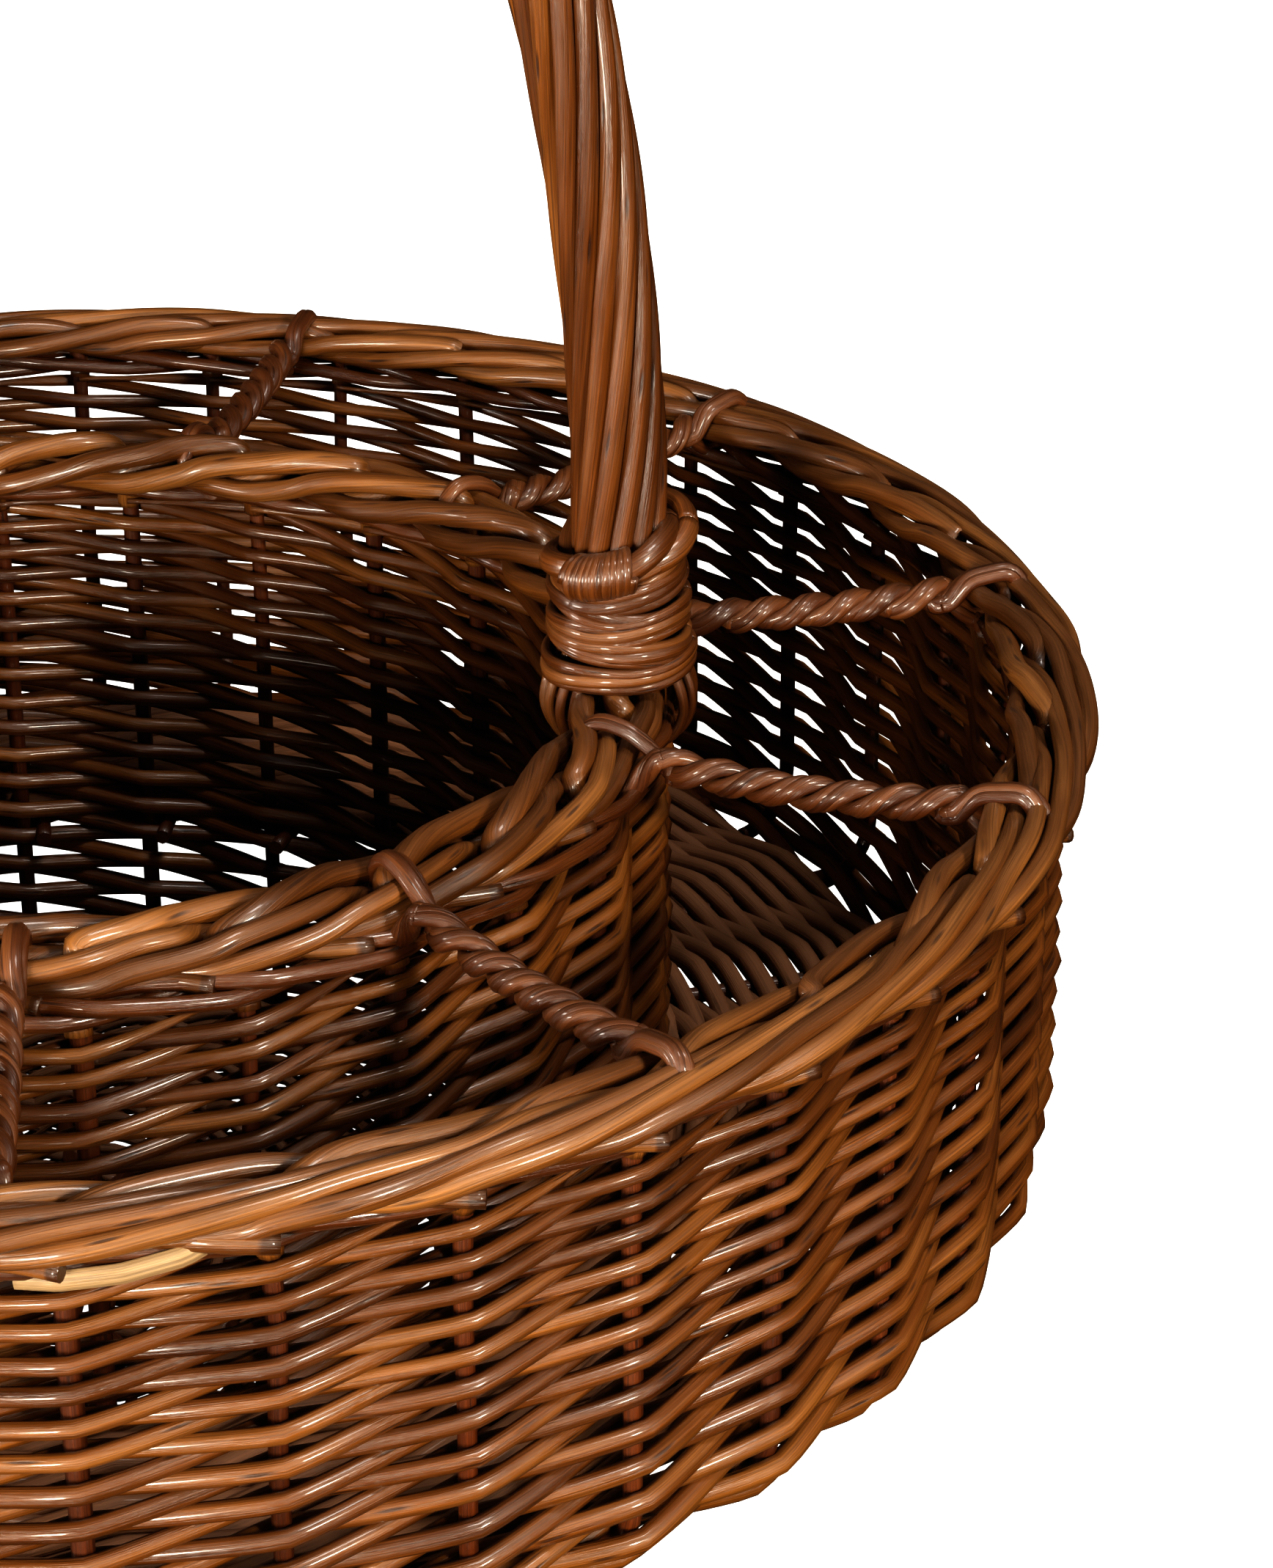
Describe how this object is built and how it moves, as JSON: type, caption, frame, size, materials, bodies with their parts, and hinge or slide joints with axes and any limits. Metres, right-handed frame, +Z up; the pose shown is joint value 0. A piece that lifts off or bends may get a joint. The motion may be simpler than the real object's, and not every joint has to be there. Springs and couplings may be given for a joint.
{
  "type": "wicker basket",
  "caption": "Round woven willow carrying basket with a deep central well, a ring tray split by twisted dividers and a tall roped bow handle",
  "frame": {"origin": "on the ground, on the axis of the well, at the centre of the foot rim", "axes": "+Z up along the well's axis; the bow handle stands in the XZ plane with its feet on +X and -X"},
  "size_m": [0.5859, 0.5868, 0.5778],
  "materials": {
    "wall_weavers": "brown stained willow weavers under glossy varnish",
    "waling_rods": "darker twisted willow rods, satin varnish",
    "rim_rods": "thick willow rods, satin varnish dulled by dust on top",
    "stakes": "reddish brown willow uprights and floor sticks, satin varnish",
    "floor_weavers": "dark brown willow weavers, dusty and matt",
    "handle_rods": "golden brown roped willow rods under glossy varnish",
    "skein": "split willow skein bound tight, satin varnish",
    "divider_willow": "twisted split willow, reddish brown, satin varnish"
  },
  "bodies": {
    "root": {"well_base_sticks": "stakes", "well_base_weave": "floor_weavers", "well_foot_rim": "floor_weavers", "well_stakes": "stakes", "well_wall_lower": "wall_weavers", "well_stick_band": "wall_weavers", "well_wall_upper": "wall_weavers", "well_waling": "waling_rods", "inner_rim": "rim_rods", "ring_floor_sticks": "stakes", "ring_floor_weave": "floor_weavers", "outer_wall_turn": "wall_weavers", "outer_stakes": "stakes", "outer_wall": "wall_weavers", "outer_waling": "waling_rods", "outer_rim": "rim_rods", "handle_core": "handle_rods", "handle_roping": "handle_rods", "handle_collar_right": "skein", "handle_collar_left": "skein", "handle_lashing_right": "skein", "handle_lashing_left": "skein", "divider_1": "divider_willow", "divider_2": "divider_willow", "divider_3": "divider_willow", "divider_4": "divider_willow", "divider_5": "divider_willow", "divider_6": "divider_willow", "divider_7": "divider_willow", "divider_8": "divider_willow", "divider_9": "divider_willow", "divider_10": "divider_willow", "divider_11": "divider_willow", "divider_12": "divider_willow"}
  },
  "joints": []
}
